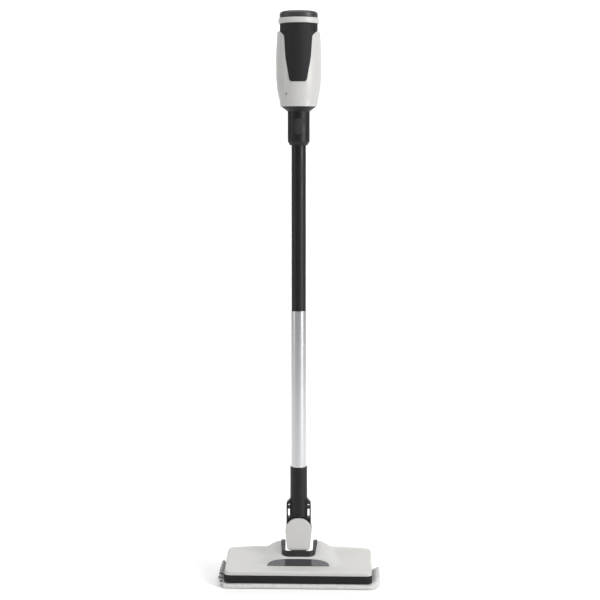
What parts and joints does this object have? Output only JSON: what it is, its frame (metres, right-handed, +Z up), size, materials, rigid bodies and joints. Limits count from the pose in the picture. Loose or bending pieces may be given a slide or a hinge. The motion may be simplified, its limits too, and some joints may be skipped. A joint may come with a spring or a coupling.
{
  "type": "wet dry floor scrubber",
  "caption": "Cordless stick floor scrubber with a battery handle, telescopic pole, two-axis neck and a flat head that shakes a microfibre pad over wet or dry floors.",
  "frame": {"origin": "centre of the mop pad's underside, on the floor", "axes": "+Z up along the upright pole, +X to the right along the head, the head's front faces -Y"},
  "size_m": [0.34, 0.132, 1.215],
  "materials": {
    "pad_fabric": "microfibre pile",
    "hook_tape": "hook tape",
    "black_plastic": "fine satin texture",
    "black_rubber": "matt",
    "motor_steel": "zinc plated",
    "screw_steel": "zinc plated",
    "pin_steel": "ground",
    "weight_brass": "turned",
    "white_plastic": "semi-gloss",
    "smoked_window": "smoked, polished",
    "circuit_board": "solder mask",
    "dark_trim": "satin",
    "bright_tube": "bright, satin sheen",
    "black_tube": "powder coated",
    "natural_plastic": "natural",
    "lead_sheath": "matt",
    "soft_grip": "soft touch, dotted",
    "dark_cap": "satin gloss",
    "button_plastic": "satin",
    "spring_steel": "drawn wire",
    "cell_sleeve": "shrink sleeve"
  },
  "bodies": {
    "head": {"head_shell": "white_plastic", "lamp_lens": "smoked_window", "lamp_board": "circuit_board", "recess_trim": "dark_trim", "chassis": "black_plastic", "chassis_screws": "screw_steel", "pitch_pin": "pin_steel"},
    "sole": {"mop_pad": "pad_fabric", "hook_strips": "hook_tape", "pad_plate": "black_plastic", "bumper": "black_rubber", "vibration_mounts": "black_rubber", "vibration_motor": "motor_steel", "motor_strap": "motor_steel", "strap_screws": "screw_steel"},
    "eccentric": {"motor_shaft": "pin_steel", "eccentric_weight": "weight_brass"},
    "neck": {"neck_cover_front": "white_plastic", "neck_cover_rear": "white_plastic", "neck_link": "black_plastic", "neck_screws": "screw_steel", "roll_pin": "pin_steel"},
    "lower_pole": {"swivel_yoke": "black_plastic", "lower_tube": "bright_tube", "tube_screw": "screw_steel", "pole_lead": "lead_sheath"},
    "upper_pole": {"upper_tube": "black_tube", "lock_plug": "black_plastic", "lock_ring": "natural_plastic", "handle_neck": "black_plastic", "handle_front": "white_plastic", "handle_rear": "white_plastic", "grip_insert": "soft_grip", "indicator_lens": "smoked_window", "handle_screws": "screw_steel", "collar": "black_plastic", "top_ring": "white_plastic", "cap": "dark_cap", "power_switch": "natural_plastic", "switch_board": "circuit_board", "power_spring": "spring_steel", "neck_spring": "spring_steel", "battery_cradle": "natural_plastic", "battery_cell_1": "cell_sleeve", "battery_cell_2": "cell_sleeve", "battery_cell_3": "cell_sleeve", "control_board": "circuit_board", "charge_socket": "black_plastic"},
    "power_button": {"power_button": "soft_grip"},
    "neck_button": {"neck_button": "button_plastic"},
    "charge_flap": {"charge_flap": "black_rubber"}
  },
  "joints": [
    {"name": "pad_shake", "type": "slide", "parent": "head", "child": "sole", "axis": [1, 0, 0], "range_m": [-0.0015, 0.0015], "stiffness_N_per_m": 20000},
    {"name": "motor_spin", "type": "hinge", "parent": "sole", "child": "eccentric", "pos_m": [-0.092, 0, 0.0282], "axis": [0, 1, 0], "continuous": true},
    {"name": "neck_pitch", "type": "hinge", "parent": "head", "child": "neck", "pos_m": [0, 0, 0.054], "axis": [-1, 0, 0], "range_deg": [0, 85]},
    {"name": "pole_roll", "type": "hinge", "parent": "neck", "child": "lower_pole", "pos_m": [0, 0, 0.114], "axis": [0, 1, 0], "range_deg": [-45, 45]},
    {"name": "pole_telescope", "type": "slide", "parent": "lower_pole", "child": "upper_pole", "axis": [0, 0, 1], "range_m": [-0.28, 0], "deforming": ["pole_lead"]},
    {"name": "power_press", "type": "slide", "parent": "upper_pole", "child": "power_button", "axis": [0, 0, -1], "range_m": [0, 0.0012], "stiffness_N_per_m": 1500, "springref_m": -0.0005, "deforming": ["power_spring"]},
    {"name": "neck_press", "type": "slide", "parent": "upper_pole", "child": "neck_button", "axis": [0, 1, 0], "range_m": [0, 0.0018], "stiffness_N_per_m": 1500, "springref_m": -0.0005, "deforming": ["neck_spring"]},
    {"name": "flap_hinge", "type": "hinge", "parent": "upper_pole", "child": "charge_flap", "pos_m": [0, 0.0403, 1.0505], "axis": [1, 0, 0], "range_deg": [0, 100]}
  ]
}
